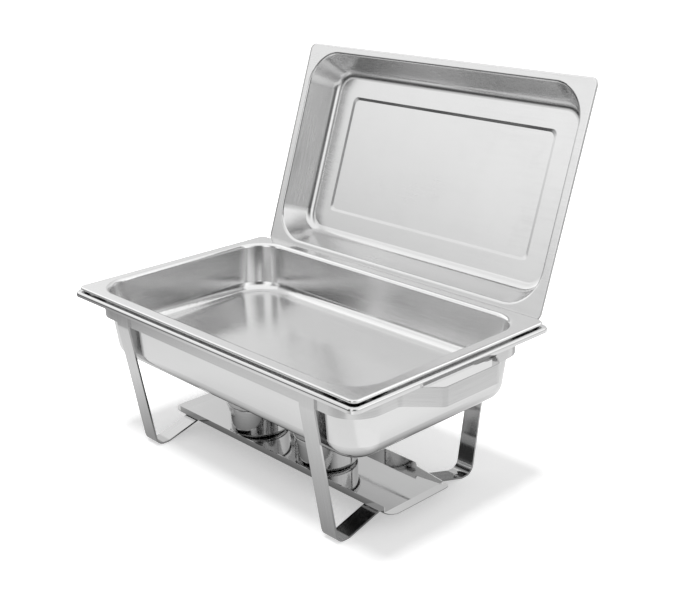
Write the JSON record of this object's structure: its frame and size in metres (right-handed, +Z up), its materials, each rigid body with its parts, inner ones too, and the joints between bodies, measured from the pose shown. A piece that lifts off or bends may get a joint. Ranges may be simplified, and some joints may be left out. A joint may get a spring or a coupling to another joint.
{
  "type": "chafing dish food warmer",
  "caption": "Rectangular stainless steel food warmer: a food pan hangs in a water pan on a folded strip frame with legs, fuel holders on a shelf below, and a lid that stands open behind.",
  "frame": {"origin": "on the table, under the middle of the whole object with its lid standing open (the pans' middle is 62.5 mm nearer the front)", "axes": "+X along the long side to the right, +Y to the rear where the lid stands, +Z up"},
  "size_m": [0.578, 0.4597, 0.4996],
  "materials": {
    "food_pan": "satin stainless steel",
    "water_pan": "semi-polished stainless steel",
    "lid": "satin stainless steel",
    "frame": "stainless flat bar, brushed along its length",
    "shelf": "bright rolled stainless sheet",
    "burner": "polished stainless steel",
    "rivet": "plain rivet heads"
  },
  "bodies": {
    "frame": {"front_rail": "frame", "rear_rail": "frame", "left_end_rail": "frame", "right_end_rail": "frame", "left_leg_frame": "frame", "right_leg_frame": "frame", "left_leg_rivets": "rivet", "right_leg_rivets": "rivet"},
    "water_pan": {"water_pan": "water_pan"},
    "food_pan": {"food_pan": "food_pan"},
    "lid": {"lid": "lid", "lid_handle": "frame"},
    "shelf": {"burner_shelf": "shelf"},
    "left_cup": {"left_burner_cup": "burner"},
    "left_cover": {"left_burner_cover": "burner", "left_damper_rivet": "rivet"},
    "left_damper": {"left_damper": "burner"},
    "right_cup": {"right_burner_cup": "burner"},
    "right_cover": {"right_burner_cover": "burner", "right_damper_rivet": "rivet"},
    "right_damper": {"right_damper": "burner"}
  },
  "joints": [
    {"name": "water_pan_lift", "type": "slide", "parent": "frame", "child": "water_pan", "axis": [0, 0, 1], "range_m": [0, 0.1]},
    {"name": "food_pan_lift", "type": "slide", "parent": "water_pan", "child": "food_pan", "axis": [0, 0, 1], "range_m": [0, 0.08]},
    {"name": "lid_swing", "type": "hinge", "parent": "food_pan", "child": "lid", "pos_m": [0, 0.09334, 0.21227], "axis": [1, 0, 0], "range_deg": [0, 108.9]},
    {"name": "shelf_lift", "type": "slide", "parent": "frame", "child": "shelf", "axis": [0, 0, 1], "range_m": [0, 0.02]},
    {"name": "left_cup_lift", "type": "slide", "parent": "shelf", "child": "left_cup", "axis": [0, 0, 1], "range_m": [0, 0.018]},
    {"name": "left_cover_lift", "type": "slide", "parent": "left_cup", "child": "left_cover", "axis": [0, 0, 1], "range_m": [0, 0.012]},
    {"name": "left_damper_swing", "type": "hinge", "parent": "left_cover", "child": "left_damper", "pos_m": [-0.0535, -0.0695, 0.0608], "axis": [0, 0, 1], "range_deg": [0, 90]},
    {"name": "right_cup_lift", "type": "slide", "parent": "shelf", "child": "right_cup", "axis": [0, 0, 1], "range_m": [0, 0.018]},
    {"name": "right_cover_lift", "type": "slide", "parent": "right_cup", "child": "right_cover", "axis": [0, 0, 1], "range_m": [0, 0.012]},
    {"name": "right_damper_swing", "type": "hinge", "parent": "right_cover", "child": "right_damper", "pos_m": [0.0215, -0.0695, 0.0608], "axis": [0, 0, -1], "range_deg": [0, 90]}
  ]
}
